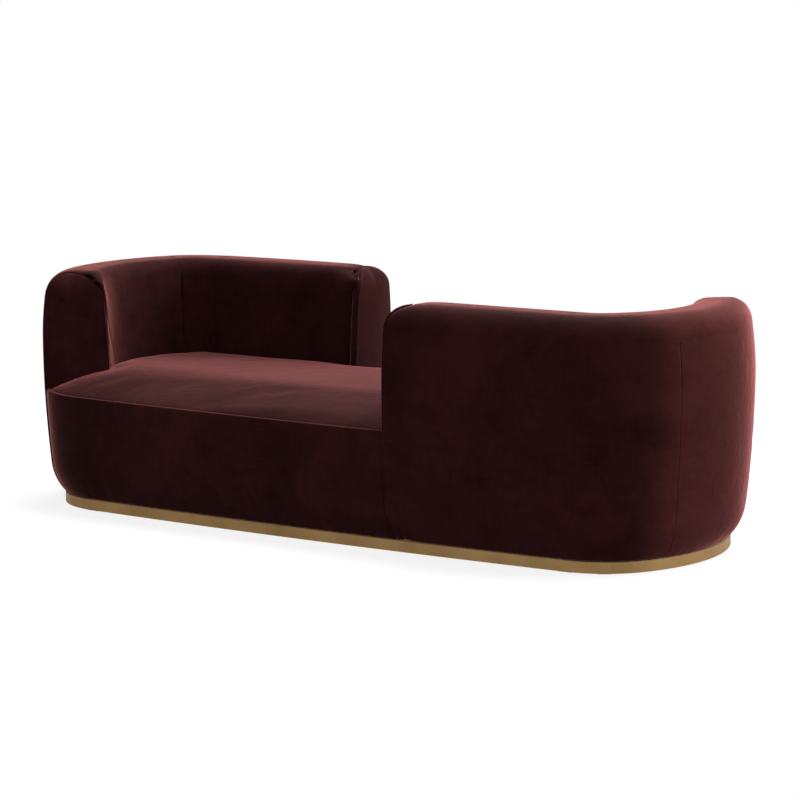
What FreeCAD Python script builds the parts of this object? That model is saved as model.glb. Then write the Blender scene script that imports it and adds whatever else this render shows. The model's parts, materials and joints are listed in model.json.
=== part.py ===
import FreeCAD, Part
import math
import os
import Sketcher

# Two-way chaise longue: one long seat between two wrap-round wings.
# Frame: +X along the length, +Y away from the front, +Z up, origin on the floor at the centre.
# Every piece follows one plan, the plinth's outline, at its own offset. Offsets are positive
# outwards. The outline is eight tangent arcs, and the object is the same when turned half a
# turn about Z, so the left wing is the right wing turned.

SIZES = {
    # Plan of the plinth
    "half_length": 1090,
    "half_depth": 400,
    "corner_round": 235,
    "side_bow": 21,
    "end_bow": 39,
    # Ends of the wings: from the centre line, and in degrees round the far corner
    "wing_start": 280,
    "wing_turn": 42.4,
    # Outer wall of the covers, from the hem up to the crest
    "hem_break": 126,
    "hem_round": 157,
    "belly_out": 62.5,
    "belly_height": 510,
    "belly_round": 3620,
    "belly_stretches": 3,
    "upper_round": 1060,
    "upper_stretches": 2,
    "shoulder_round": 73,
    "crest_height": 718,
    # Crown of the wing and its inner face
    "crown_round": 1500,
    "crown_width": 66,
    "lip_round": 45,
    "face_lean": 2.2,
    # End facings of the wings
    "facing_round": 55,
    "facing_drop": 3,
    "facing_lean": 13,
    "facing_depth": 40,
    # Seat: from its deck up to the seam of the borders, and from there up to the crown
    "seam_rise": 49,
    "crown_rise": 69,
    "seat_core": 2,
    "cut_spare": 5,
    "border_setback": 6,
    # Cloth and clearances
    "cover": 1.6,
    "soft_gap": 0.3,
    "foam_gap": 0.8,
    # Plinth
    "floor_gap": 2,
    "band_sheet": 1.5,
    "band_return": 4,
    "band_height": 34,
    "core_width": 20,
    "floor_pad_length": 40,
    "floor_pad_width": 10,
    "band_joint_short": 728,
    "band_joint_long": 772,
    "band_joint_turn": 53.1,
    # Base box
    "board": 18,
    "base_inset": 14,
    "ring_width": 102,
    "seat_ring_out": 30,
    "seat_ring_width": 140,
    "box_height": 300,
    "cross_spacing": 540,
    "dust_cloth": 0.8,
    # Seat support
    "strap_width": 50,
    "strap_sheet": 1.8,
    "strap_pitch": 120,
    "strap_count": 13,
    "strap_reach": 310,
    "long_strap_pitch": 160,
    "long_strap_reach": 990,
    "felt": 2.5,
    # Wing frame
    "frame_out": 20,
    "frame_depth": 45,
    "rail": 20,
    "post_width": 38,
    "post_setback": 1,
    "post_clearance": 5,
    "liner": 5,
    "crown_pad": 60,
    "roll_skirt": 110,
    # Bolts
    "bolt_round": 4,
    "bolt_head": 7.5,
    "bolt_head_height": 5.5,
    "bolt_clearance": 0.3,
}

# Sizes that follow from the ones above, as formulas of the same sheet
DERIVED = {
    # Heights of the seat, on the box, the two layers of webbing and the felt
    "deck_height": "box_height + 2 * strap_sheet + felt + 3 * soft_gap",
    "seam_height": "deck_height + seam_rise",
    "seat_height": "seam_height + crown_rise",
    "face_height": "seat_height + cut_spare",
    "corner_x": "half_length - corner_round - end_bow",
    "corner_y": "half_depth - corner_round - side_bow",
    "side_core": "(corner_x ^ 2 + side_bow ^ 2) / (2 * side_bow)",
    "end_core": "(corner_y ^ 2 + end_bow ^ 2) / (2 * end_bow)",
    "side_arc": "side_core + corner_round",
    "end_arc": "end_core + corner_round",
    "side_centre": "side_arc - half_depth",
    "end_centre": "half_length - end_arc",
    "side_turn": "asin(corner_x / side_core) / 1 deg",
    "end_turn": "asin(corner_y / end_core) / 1 deg",
    "start_turn": "270 + asin(wing_start / side_arc) / 1 deg",
    # Centres and turns of the arcs of the outer wall
    "belly_x": "belly_out - belly_round",
    "hem_break_turn": "asin((hem_break - belly_height) / belly_round) / 1 deg",
    "hem_x": "belly_x + (belly_round - hem_round) * cos(hem_break_turn)",
    "hem_z": "belly_height + (belly_round - hem_round) * sin(hem_break_turn)",
    "upper_x": "belly_out - upper_round",
    "shoulder_z": "crest_height - shoulder_round",
    "shoulder_turn": "asin((shoulder_z - belly_height) / (upper_round - shoulder_round)) / 1 deg",
    "shoulder_x": "upper_x + (upper_round - shoulder_round) * cos(shoulder_turn)",
    "crown_turn": "asin(crown_width / crown_round) / 1 deg",
    "lip_x": "shoulder_x - (crown_round - lip_round) * sin(crown_turn)",
    "lip_z": "crest_height - crown_round + (crown_round - lip_round) * cos(crown_turn)",
    "facing_z": "crest_height - facing_drop - facing_round",
    "facing_break_turn": "asin((facing_z - belly_height) / (upper_round - facing_round)) / 1 deg",
    "facing_x": "upper_x + (upper_round - facing_round) * cos(facing_break_turn)",
    # How far the wing's inner face stands inside the plinth's outline, at the seat
    "face_in": "lip_round * cos(face_lean) - lip_x"
               " + (lip_z + lip_round * sin(face_lean) - face_height) * tan(face_lean)",
    # Turns taken up by the end facings and their clearances
    "facing_turn_side": "asin(facing_depth / side_arc) / 1 deg",
    "facing_turn_corner": "asin(facing_depth / (corner_round + belly_out)) / 1 deg",
    "clear_turn_side": "asin((cover + soft_gap) / (side_arc - face_in)) / 1 deg",
    "clear_turn_corner": "asin((cover + soft_gap) / (corner_round - face_in)) / 1 deg",
    # Heights in the frame
    "base_top": "band_height + board",
    "seat_ring_low": "box_height - board",
    "post_low": "box_height + rail",
    "post_top": "crest_height - crown_pad - rail",
    "roll_low": "crest_height - roll_skirt",
    # The seat's crown: one arc from the seam up to the flat middle
    "border_edge": "belly_x + sqrt((belly_round - border_setback) ^ 2 - (seam_height - belly_height) ^ 2)",
    "seat_edge": "corner_round + border_edge - seat_core",
    "seat_round": "(seat_edge ^ 2 + crown_rise ^ 2) / (2 * crown_rise)",
}

doc = FreeCAD.newDocument("chaise_longue")
sheet = doc.addObject("Spreadsheet::Sheet", "Sizes")


def fill_sheet():
    """Write every driving size and every formula to the sheet, one row each."""
    row = 1
    for alias, value in SIZES.items():
        sheet.set("A%d" % row, alias)
        sheet.set("B%d" % row, str(value))
        sheet.setAlias("B%d" % row, alias)
        row += 1
    for alias, formula in DERIVED.items():
        sheet.set("A%d" % row, alias)
        sheet.set("B%d" % row, "=" + formula)
        sheet.setAlias("B%d" % row, alias)
        row += 1
    doc.recompute()


class Size:
    """A number together with the expression that it comes from, so both stay in step."""

    def __init__(self, value, text):
        self.value = value
        self.text = text

    def __add__(self, other):
        other = as_size(other)
        return Size(self.value + other.value, "(%s + %s)" % (self.text, other.text))

    def __radd__(self, other):
        return as_size(other) + self

    def __sub__(self, other):
        other = as_size(other)
        return Size(self.value - other.value, "(%s - %s)" % (self.text, other.text))

    def __rsub__(self, other):
        return as_size(other) - self

    def __mul__(self, other):
        other = as_size(other)
        return Size(self.value * other.value, "(%s * %s)" % (self.text, other.text))

    def __rmul__(self, other):
        return as_size(other) * self

    def __truediv__(self, other):
        other = as_size(other)
        return Size(self.value / other.value, "(%s / %s)" % (self.text, other.text))

    def __neg__(self):
        return Size(-self.value, "(0 - %s)" % self.text)


def as_size(value):
    if isinstance(value, Size):
        return value
    return Size(float(value), "%.10g" % value if value >= 0 else "(0 - %.10g)" % -value)


def size(alias):
    return Size(float(sheet.get(alias)), "Sizes." + alias)


def cosine(turn):
    return Size(math.cos(math.radians(turn.value)), "cos(%s)" % turn.text)


def sine(turn):
    return Size(math.sin(math.radians(turn.value)), "sin(%s)" % turn.text)


def tangent(turn):
    return Size(math.tan(math.radians(turn.value)), "tan(%s)" % turn.text)


def arcsine(ratio):
    return Size(math.degrees(math.asin(ratio.value)), "(asin(%s) / 1 deg)" % ratio.text)


def root(square):
    return Size(math.sqrt(square.value), "sqrt(%s)" % square.text)


def set_size(thing, name, value):
    setattr(thing, name, value.value)
    thing.setExpression(name, value.text)


class Sector:
    """One arc of the plan: its centre, the plinth's radius there, and where it starts and ends."""

    def __init__(self, centre, radius, start, end):
        self.centre = centre
        self.radius = radius
        self.start = start
        self.end = end

    def cut(self, start=None, end=None):
        return Sector(self.centre, self.radius, start or self.start, end or self.end)

    def point(self, offset, turn):
        reach = self.radius + offset
        return (self.centre[0] + reach * cosine(turn), self.centre[1] + reach * sine(turn))


# Sketch helpers: a path is a start point and a list of steps, each a point and, for an arc,
# its centre, its radius and whether it runs anticlockwise

def draw_loop(sketch, start, steps):
    here = start
    ends = []
    for point, arc in steps:
        if arc is None:
            line = Part.LineSegment(flat_vector(here), flat_vector(point))
            index = sketch.addGeometry(line)
            ends.append((index, 1, 2))
        else:
            centre, radius, anticlockwise = arc
            low = math.atan2(here[1].value - centre[1].value, here[0].value - centre[0].value)
            high = math.atan2(point[1].value - centre[1].value, point[0].value - centre[0].value)
            circle = Part.Circle(flat_vector(centre), FreeCAD.Vector(0, 0, 1), radius.value)
            if anticlockwise:
                index = sketch.addGeometry(Part.ArcOfCircle(circle, low, high))
                ends.append((index, 1, 2))
            else:
                index = sketch.addGeometry(Part.ArcOfCircle(circle, high, low))
                ends.append((index, 2, 1))
            bind(sketch, Sketcher.Constraint("Radius", index, radius.value), radius)
        here = point
    for number, (index, begin, end) in enumerate(ends):
        after, after_begin, _ = ends[(number + 1) % len(ends)]
        sketch.addConstraint(Sketcher.Constraint("Coincident", index, end, after, after_begin))
    corners = [start] + [point for point, _ in steps[:-1]]
    for corner, (index, begin, _) in zip(corners, ends):
        place_point(sketch, index, begin, corner)


def draw_corners(sketch, corners):
    draw_loop(sketch, corners[0], [(point, None) for point in corners[1:] + corners[:1]])


def draw_circle(sketch, centre, radius):
    circle = Part.Circle(flat_vector(centre), FreeCAD.Vector(0, 0, 1), radius.value)
    index = sketch.addGeometry(circle)
    bind(sketch, Sketcher.Constraint("Radius", index, radius.value), radius)
    place_point(sketch, index, 3, centre)


def flat_vector(point):
    return FreeCAD.Vector(point[0].value, point[1].value, 0)


def bind(sketch, constraint, value):
    number = sketch.addConstraint(constraint)
    sketch.setExpression("Constraints[%d]" % number, value.text)


def place_point(sketch, index, end, point):
    for kind, value in (("DistanceX", point[0]), ("DistanceY", point[1])):
        constraint = Sketcher.Constraint(kind, -1, 1, index, end, value.value)
        bind(sketch, constraint, value)


def origin_plane(body, role):
    for feature in body.Origin.OriginFeatures:
        if feature.Role == role:
            return feature
    raise ValueError("no plane " + role)


def new_body(name):
    return doc.addObject("PartDesign::Body", name)


def plan_sketch(body, height):
    """A sketch in the floor plane, lifted to a height."""
    sketch = body.newObject("Sketcher::SketchObject", body.Name + "_plan")
    sketch.AttachmentSupport = (origin_plane(body, "XY_Plane"), [""])
    sketch.MapMode = "FlatFace"
    sketch.setExpression("AttachmentOffset.Base.z", height.text)
    return sketch


def radial_sketch(body, sector, turn):
    """An upright sketch through a sector's centre: x is the radius, y the height."""
    sketch = body.newObject("Sketcher::SketchObject", body.Name + "_section")
    sketch.AttachmentSupport = (origin_plane(body, "XZ_Plane"), [""])
    sketch.MapMode = "FlatFace"
    place = "placement(vector(%s; 0; %s); rotation(vector(0; 1; 0); %s))"
    away = -sector.centre[1]
    sketch.setExpression("AttachmentOffset", place % (sector.centre[0].text, away.text, turn.text))
    return sketch


def pad(body, sketch, length, reverse=False):
    feature = body.newObject("PartDesign::Pad", body.Name + "_pad")
    feature.Profile = sketch
    feature.Reversed = reverse
    set_size(feature, "Length", length)
    return feature


def turned(body, section, sectors, cut=False):
    """Turn a section about the centre of each sector in a row, as one solid or as one cut.

    section(radius) gives the start and steps of the section, with the plinth at that radius.
    """
    kind = "PartDesign::Groove" if cut else "PartDesign::Revolution"
    for sector in sectors:
        sketch = radial_sketch(body, sector, sector.start)
        draw_loop(sketch, *section(sector.radius))
        feature = body.newObject(kind, body.Name + "_turn")
        feature.Profile = sketch
        feature.ReferenceAxis = (sketch, ["V_Axis"])
        set_size(feature, "Angle", sector.end - sector.start)
    return body


def run_loop(sectors, outer, inner):
    """A closed strip along a row of sectors, between two offsets."""
    start = sectors[0].point(outer, sectors[0].start)
    steps = []
    for sector in sectors:
        steps.append((sector.point(outer, sector.end), (sector.centre, sector.radius + outer, True)))
    steps.append((sectors[-1].point(inner, sectors[-1].end), None))
    for sector in reversed(sectors):
        steps.append((sector.point(inner, sector.start), (sector.centre, sector.radius + inner, False)))
    steps.append((start, None))
    return start, steps


def round_loop(offset):
    """The whole outline at one offset."""
    sectors = ring()
    start = sectors[0].point(offset, sectors[0].start)
    steps = []
    for sector in sectors:
        steps.append((sector.point(offset, sector.end), (sector.centre, sector.radius + offset, True)))
    return start, steps


def strip(name, sectors, outer, inner, low, high):
    """An upright strip of board or foam along a row of sectors."""
    body = new_body(name)
    sketch = plan_sketch(body, low)
    draw_loop(sketch, *run_loop(sectors, outer, inner))
    pad(body, sketch, high - low)
    return body


def closed_ring(name, outer, inner, low, high):
    body = new_body(name)
    sketch = plan_sketch(body, low)
    draw_loop(sketch, *round_loop(outer))
    draw_loop(sketch, *round_loop(inner))
    pad(body, sketch, high - low)
    return body


fill_sheet()
zero = as_size(0)
cover = size("cover")
soft_gap = size("soft_gap")
under_cover = cover + size("foam_gap")
pad_foot = size("band_height") + soft_gap
side_turn = size("side_turn")
end_turn = size("end_turn")

# The eight arcs of the plan, anticlockwise from the front

def side(sign, start, end):
    return Sector((zero, size("side_centre") * -sign), size("side_arc"), start, end)


def corner(across, along, start, end):
    centre = (size("corner_x") * across, size("corner_y") * along)
    return Sector(centre, size("corner_round"), start, end)


def end_side(across, start, end):
    return Sector((size("end_centre") * across, zero), size("end_arc"), start, end)


front_side = side(-1, 270 - side_turn, 270 + side_turn)
front_right = corner(1, -1, 270 + side_turn, 360 - end_turn)
right_end = end_side(1, 360 - end_turn, 360 + end_turn)
back_right = corner(1, 1, 360 + end_turn, 450 - side_turn)
back_side = side(1, 450 - side_turn, 450 + side_turn)
back_left = corner(-1, 1, 450 + side_turn, 540 - end_turn)
left_end = end_side(-1, 540 - end_turn, 540 + end_turn)
front_left = corner(-1, -1, 180 + end_turn, 270 - side_turn)


def ring():
    return [front_side, front_right, right_end, back_right, back_side, back_left, left_end, front_left]


# The rows of sectors that the pieces follow
wing_from = size("start_turn")
wing_to = 360 + size("wing_turn")
pads_from = wing_from + size("facing_turn_side")
pads_to = wing_to - size("facing_turn_corner")
border_from = wing_to - 180 + size("clear_turn_corner")
border_to = wing_from - size("clear_turn_side")

pad_run = [front_side.cut(start=pads_from), front_right, right_end, back_right.cut(end=pads_to)]
border_run = [front_left.cut(start=border_from), front_side.cut(end=border_to)]


# Sections of the covers and pads, with the plinth's outline at a given radius. Each takes an
# inset, so that a pad's section is the cover's, drawn in by the cloth and a small gap.

def hem_point(radius, inset, height):
    reach = size("hem_round") - inset
    turn = arcsine((height - size("hem_z")) / reach)
    return (radius + size("hem_x") + reach * cosine(turn), height)


def hem_arc(radius, inset):
    return ((radius + size("hem_x"), size("hem_z")), size("hem_round") - inset, True)


def break_point(radius, inset):
    reach = size("belly_round") - inset
    turn = size("hem_break_turn")
    return (radius + size("belly_x") + reach * cosine(turn), size("belly_height") + reach * sine(turn))


def belly_point(radius, inset, height):
    reach = size("belly_round") - inset
    rise = height - size("belly_height")
    return (radius + size("belly_x") + root(reach * reach - rise * rise), height)


def stretches(point_at, low, high, count):
    """Straight stretches along a curve so gentle that they leave it by half a millimetre."""
    rise = (high - low) / count
    return [(point_at(low + rise * number), None) for number in range(1, count + 1)]


def belly_steps(radius, inset, high):
    """From the break over the hem up the belly."""
    low = break_point(radius, inset)[1]
    count = int(size("belly_stretches").value)
    return stretches(lambda height: belly_point(radius, inset, height), low, high, count)


def upper_point(radius, inset, height):
    reach = size("upper_round") - inset
    rise = height - size("belly_height")
    return (radius + size("upper_x") + root(reach * reach - rise * rise), height)


def upper_steps(radius, inset, high):
    """From the widest of the belly up towards the shoulder."""
    count = int(size("upper_stretches").value)
    low = size("belly_height")
    return stretches(lambda height: upper_point(radius, inset, height), low, high, count)


def shoulder_point(radius, inset):
    reach = size("upper_round") - inset
    turn = size("shoulder_turn")
    return (radius + size("upper_x") + reach * cosine(turn), size("belly_height") + reach * sine(turn))


def shoulder_arc(radius, inset):
    centre = (radius + size("shoulder_x"), size("shoulder_z"))
    return (centre, size("shoulder_round") - inset, True)


def crest_point(radius, inset):
    return (radius + size("shoulder_x"), size("crest_height") - inset)


def lip_point(radius, inset):
    reach = size("crown_round") - inset
    turn = size("crown_turn")
    drop = size("crest_height") - size("crown_round")
    return (radius + size("shoulder_x") - reach * sine(turn), drop + reach * cosine(turn))


def lip_arc(radius, inset):
    return ((radius + size("lip_x"), size("lip_z")), size("lip_round") - inset, True)


def face_point(radius, inset, height):
    """A point of the leaning inner face, or its top where no height is given."""
    reach = size("lip_round") - inset
    lean = size("face_lean")
    top_x = radius + size("lip_x") - reach * cosine(lean)
    top_z = size("lip_z") + reach * sine(lean)
    if height is None:
        return (top_x, top_z)
    return (top_x - (top_z - height) * tangent(lean), height)


def crown_steps(radius, inset):
    """From the shoulder over the crest to the top of the inner face."""
    return [
        (crest_point(radius, inset), shoulder_arc(radius, inset)),
        (lip_point(radius, inset), None),
        (face_point(radius, inset, None), lip_arc(radius, inset)),
    ]


def reversed_path(start, steps):
    """The same path walked backwards."""
    points = [start] + [point for point, _ in steps]
    back = []
    for number in range(len(steps) - 1, -1, -1):
        arc = steps[number][1]
        if arc is not None:
            arc = (arc[0], arc[1], not arc[2])
        back.append((points[number], arc))
    return points[-1], back


def skin(outer_start, outer_steps, inner_start, inner_steps):
    """A closed section between an outer path and an inner one that run the same way."""
    back_start, back_steps = reversed_path(inner_start, inner_steps)
    return outer_start, outer_steps + [(back_start, None)] + back_steps + [(outer_start, None)]


def outer_wall(radius, inset, low, high):
    """The outer wall from a height in the hem to a height under the belly or up to the shoulder."""
    steps = [(break_point(radius, inset), hem_arc(radius, inset))]
    if high is not None:
        steps += belly_steps(radius, inset, high)
        return hem_point(radius, inset, low), steps
    steps += belly_steps(radius, inset, size("belly_height"))
    steps += upper_steps(radius, inset, shoulder_point(radius, inset)[1])
    return hem_point(radius, inset, low), steps


def outer_cover_section(radius):
    low = size("band_height")
    outer = outer_wall(radius, zero, low, None)
    inner = outer_wall(radius, cover, low, None)
    return skin(*outer, *inner)


def inner_cover_path(radius, inset):
    steps = crown_steps(radius, inset)
    steps.append((face_point(radius, inset, size("face_height")), None))
    foot = (face_point(radius, inset, size("face_height"))[0], size("deck_height"))
    steps.append((foot, None))
    return shoulder_point(radius, inset), steps


def inner_cover_section(radius):
    return skin(*inner_cover_path(radius, zero), *inner_cover_path(radius, cover))


def board_back(radius):
    """The upright face that the lower padding lies against."""
    return radius - size("base_inset") + soft_gap


def padding_foot(radius):
    """The inside of the padding, round the seat ring's edge and down the board to its foot."""
    ledge = radius + size("seat_ring_out") + soft_gap
    over = size("box_height") + soft_gap
    under = size("seat_ring_low") - soft_gap
    return [
        ((ledge, over), None),
        ((ledge, under), None),
        ((board_back(radius), under), None),
        ((board_back(radius), pad_foot), None),
    ]


def outer_pad_section(radius):
    top = size("roll_low") - soft_gap
    start = hem_point(radius, under_cover, pad_foot)
    liner_x = radius + size("frame_out") + size("liner") + 2 * soft_gap
    steps = [(break_point(radius, under_cover), hem_arc(radius, under_cover))]
    steps += belly_steps(radius, under_cover, size("belly_height"))
    steps += [
        (upper_point(radius, under_cover, top), None),
        ((liner_x, top), None),
        ((liner_x, size("box_height") + soft_gap), None),
    ]
    return start, steps + padding_foot(radius) + [(start, None)]


def border_pad_section(radius):
    inset = size("border_setback") + under_cover
    top = size("deck_height") - soft_gap
    inside = radius - size("base_inset")
    start = hem_point(radius, inset, pad_foot)
    steps = [(break_point(radius, inset), hem_arc(radius, inset))]
    steps += belly_steps(radius, inset, top)
    steps += [
        ((inside, top), None),
        ((inside, size("box_height") + soft_gap), None),
    ]
    return start, steps + padding_foot(radius) + [(start, None)]


def border_cover_section(radius):
    setback = size("border_setback")
    low = size("band_height")
    high = size("seam_height") - under_cover
    outer = outer_wall(radius, setback, low, high)
    inner = outer_wall(radius, setback + cover, low, high)
    return skin(*outer, *inner)


def roll_section(radius):
    """The foam saddle over the top rail, from the outer skirt to the inner one."""
    low = size("roll_low")
    start = upper_point(radius, under_cover, low)
    steps = [(shoulder_point(radius, under_cover), None)]
    steps += crown_steps(radius, under_cover)
    steps.append((face_point(radius, under_cover, low), None))
    wall = size("liner") + 2 * soft_gap
    rail_top = size("post_top") + size("rail") + soft_gap
    inside = radius + size("frame_out") - size("frame_depth") - wall
    outside = radius + size("frame_out") + wall
    steps.append(((inside, low), None))
    steps.append(((inside, rail_top), None))
    steps.append(((outside, rail_top), None))
    steps.append(((outside, low), None))
    steps.append((start, None))
    return start, steps


def inner_pad_section(radius):
    low = size("deck_height")
    top = size("roll_low") - soft_gap
    inside = radius + size("frame_out") - size("frame_depth") - size("liner") - 2 * soft_gap
    face = face_point(radius, under_cover, size("face_height"))
    start = (inside, low)
    steps = [
        ((inside, top), None),
        (face_point(radius, under_cover, top), None),
        (face, None),
        ((face[0], low), None),
        (start, None),
    ]
    return start, steps


def facing_path(radius, inset, foot):
    """Up the outer wall and over the D of a wing's end, narrower than the wing behind it."""
    lean = size("facing_lean")
    reach = size("facing_round") - inset
    turn = size("facing_break_turn")
    upper = size("upper_round") - inset
    centre = (radius + size("facing_x"), size("facing_z"))
    break_at = (
        radius + size("upper_x") + upper * cosine(turn),
        size("belly_height") + upper * sine(turn),
    )
    lean_top = (centre[0] - reach * cosine(lean), centre[1] + reach * sine(lean))
    lean_x = lean_top[0] - (lean_top[1] - size("face_height")) * tangent(lean)
    steps = [(break_point(radius, inset), hem_arc(radius, inset))]
    steps += belly_steps(radius, inset, size("belly_height"))
    steps += upper_steps(radius, inset, break_at[1])
    steps += [
        (lean_top, (centre, reach, True)),
        ((lean_x, size("face_height")), None),
        ((lean_x, size("deck_height")), None),
    ]
    return hem_point(radius, inset, foot), steps


def facing_section(radius, inset, foot):
    """The closed section of a wing's end, over the straps and round the seat ring."""
    start, steps = facing_path(radius, inset, foot)
    inside = radius + size("frame_out") - size("frame_depth") - size("liner") - 2 * soft_gap
    steps.append(((inside, size("deck_height")), None))
    steps.append(((inside, size("box_height") + soft_gap), None))
    return start, steps + padding_foot(radius) + [(start, None)]


def facing_pad_section(radius):
    return facing_section(radius, under_cover, pad_foot)


def facing_rim_section(radius):
    foot = size("band_height")
    return skin(*facing_path(radius, zero, foot), *facing_path(radius, cover, foot))


def relief_section(inset):
    """What is cut from a flat-topped seat to leave the crown, at an inset from the cover's top."""
    def section(radius):
        edge = radius + size("border_edge")
        flat = edge - size("seat_edge")
        top = size("seat_height") - inset
        over = top + under_cover
        beyond = edge + size("border_setback")
        reach = size("seat_round") - inset
        centre_z = size("seat_height") - size("seat_round")
        run = beyond - flat
        foot = (beyond, centre_z + root(reach * reach - run * run))
        start = (flat, top)
        steps = [
            ((flat, over), None),
            ((beyond, over), None),
            (foot, None),
            (start, ((flat, centre_z), reach, True)),
        ]
        return start, steps
    return section


def seat_loop(edge, inner):
    """The S-shaped plan of the seat: out to the borders, in at the wings."""
    wing_side = front_side.cut(start=border_to)
    wing_last = back_right.cut(end=border_from + 180)
    start = border_run[0].point(edge, border_from)
    steps = []
    for sector in border_run:
        steps.append((sector.point(edge, sector.end), (sector.centre, sector.radius + edge, True)))
    steps.append((wing_side.point(inner, border_to), None))
    for sector in (wing_side, front_right, right_end, wing_last):
        steps.append((sector.point(inner, sector.end), (sector.centre, sector.radius + inner, True)))
    steps.append(((-start[0], -start[1]), None))
    opposite = []
    for point, arc in steps[:-1]:
        if arc is not None:
            arc = ((-arc[0][0], -arc[0][1]), arc[1], arc[2])
        opposite.append(((-point[0], -point[1]), arc))
    return start, steps + opposite + [(start, None)]


# Plinth

def plinth_band_section(radius):
    low = size("floor_gap")
    high = size("band_height")
    sheet_in = radius - size("band_sheet")
    lip = low + size("band_sheet")
    start = (radius, low)
    steps = [
        ((radius, high), None),
        ((sheet_in, high), None),
        ((sheet_in, lip), None),
        ((sheet_in - size("band_return"), lip), None),
        ((sheet_in - size("band_return"), low), None),
        (start, None),
    ]
    return start, steps


def make_plinth():
    short_turn = arcsine(size("band_joint_short") / size("side_arc"))
    long_turn = arcsine(size("band_joint_long") / size("side_arc"))
    corner_turn = 360 - size("band_joint_turn")
    runs = {
        "front": [front_side.cut(start=270 - long_turn, end=270 + short_turn)],
        "front_right": [front_side.cut(start=270 + short_turn), front_right.cut(end=corner_turn)],
        "right_end": [
            front_right.cut(start=corner_turn),
            right_end,
            back_right,
            back_side.cut(end=450 - long_turn),
        ],
    }
    bands = []
    for place, sectors in runs.items():
        bands.append(turned(new_body("plinth_band_" + place), plinth_band_section, sectors))
    opposite = {"front": "back", "front_right": "back_left", "right_end": "left_end"}
    for place, band in zip(runs, list(bands)):
        bands.append(half_turn(band, "plinth_band_" + opposite[place]))
    outer = -size("band_sheet") - soft_gap
    low = size("floor_gap") + size("band_sheet") + soft_gap
    core = closed_ring("plinth_core", outer, outer - size("core_width"), low, size("band_height"))
    return bands + [core, make_floor_pads(outer, low)]


def make_floor_pads(outer, top):
    """Felt pads under the plinth's core, the only pieces that touch the floor."""
    body = new_body("floor_pads")
    sketch = plan_sketch(body, zero)
    middle = outer - size("core_width") / 2
    for sector in ring():
        spots = [(sector.start + sector.end) / 2]
        if sector is front_side or sector is back_side:
            spots = [sector.start, sector.end]
        for turn in spots:
            draw_across(sketch, sector, middle, turn, size("floor_pad_width"), size("floor_pad_length"))
    pad(body, sketch, top)
    return body


def draw_across(sketch, sector, offset, turn, deep, wide):
    """A rectangle set square to the outline at one of its points."""
    x, y = sector.point(offset, turn)
    corners = []
    for out, across in ((-1, -1), (1, -1), (1, 1), (-1, 1)):
        radial = deep / 2 * out
        tangential = wide / 2 * across
        corner_x = x + radial * cosine(turn) - tangential * sine(turn)
        corner_y = y + radial * sine(turn) + tangential * cosine(turn)
        corners.append((corner_x, corner_y))
    draw_corners(sketch, corners)


def half_turn(body, name):
    """The same piece again, turned half a turn about the object's upright axis."""
    twin = doc.addObject("Part::Compound", name)
    twin.Links = [body]
    turn = FreeCAD.Rotation(FreeCAD.Vector(0, 0, 1), 180)
    twin.Placement = FreeCAD.Placement(FreeCAD.Vector(0, 0, 0), turn)
    return twin


# Base box: two plywood rings with boards between them

def make_box():
    inset = size("base_inset")
    board = size("board")
    base_in = -inset - size("ring_width")
    base_ring = closed_ring("base_ring", -inset, base_in, size("band_height"), size("base_top"))
    low = size("base_top")
    high = size("seat_ring_low")
    front_board = strip("front_board", [front_side], -inset, -inset - board, low, high)
    end_run = [front_right, right_end, back_right]
    right_board = strip("right_end_board", end_run, -inset, -inset - board, low, high)
    pieces = [base_ring, front_board, half_turn(front_board, "back_board")]
    pieces += [right_board, half_turn(right_board, "left_end_board")]
    pieces += [make_seat_ring()]
    for place, step in (("left", -1), ("middle", 0), ("right", 1)):
        pieces.append(make_cross_board(place, size("cross_spacing") * step, low, high))
    pieces.append(make_dust_cover())
    return pieces


def make_seat_ring():
    outer = size("seat_ring_out")
    inner = outer - size("seat_ring_width")
    body = closed_ring("seat_ring", outer, inner, size("seat_ring_low"), size("box_height"))
    drill(body, size("seat_ring_low"), size("board"), bolt_spots(both_wings=True))
    return body


def make_cross_board(place, x, low, high):
    reach = size("side_arc") - size("base_inset") - size("board")
    far = root(reach * reach - (x + size("board")) * (x + size("board")))
    if x.value < 0:
        far = root(reach * reach - (x - size("board")) * (x - size("board")))
    half = far - size("side_centre") - soft_gap
    box = doc.addObject("Part::Box", "cross_board_" + place)
    set_size(box, "Length", size("board"))
    set_size(box, "Width", 2 * half)
    set_size(box, "Height", high - low)
    box.setExpression("Placement.Base.x", (x - size("board") / 2).text)
    box.setExpression("Placement.Base.y", (-half).text)
    box.setExpression("Placement.Base.z", low.text)
    return box


def make_dust_cover():
    body = new_body("dust_cover")
    sketch = plan_sketch(body, size("band_height") - size("dust_cloth"))
    edge = -size("band_sheet") - size("core_width") - 2 * soft_gap
    draw_loop(sketch, *round_loop(edge))
    pad(body, sketch, size("dust_cloth"))
    return body


# Bolts that hold the wing frames to the seat ring

def bolt_spots(both_wings):
    middle = size("frame_out") - size("frame_depth") / 2
    side_spot = 270 + arcsine((size("wing_start") + size("corner_x")) / 2 / size("side_arc"))
    spots = [
        front_side.point(middle, side_spot),
        front_right.point(middle, (front_right.start + 3 * front_right.end) / 4),
        right_end.point(middle, 360 + end_turn / 2),
    ]
    if both_wings:
        spots += [(-x, -y) for x, y in spots]
    return spots


def drill(body, low, depth, spots):
    sketch = plan_sketch(body, low)
    hole = size("bolt_round") + size("bolt_clearance")
    for spot in spots:
        draw_circle(sketch, spot, hole)
    pocket = body.newObject("PartDesign::Pocket", body.Name + "_holes")
    pocket.Profile = sketch
    pocket.Reversed = True
    set_size(pocket, "Length", depth)
    return pocket


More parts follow.
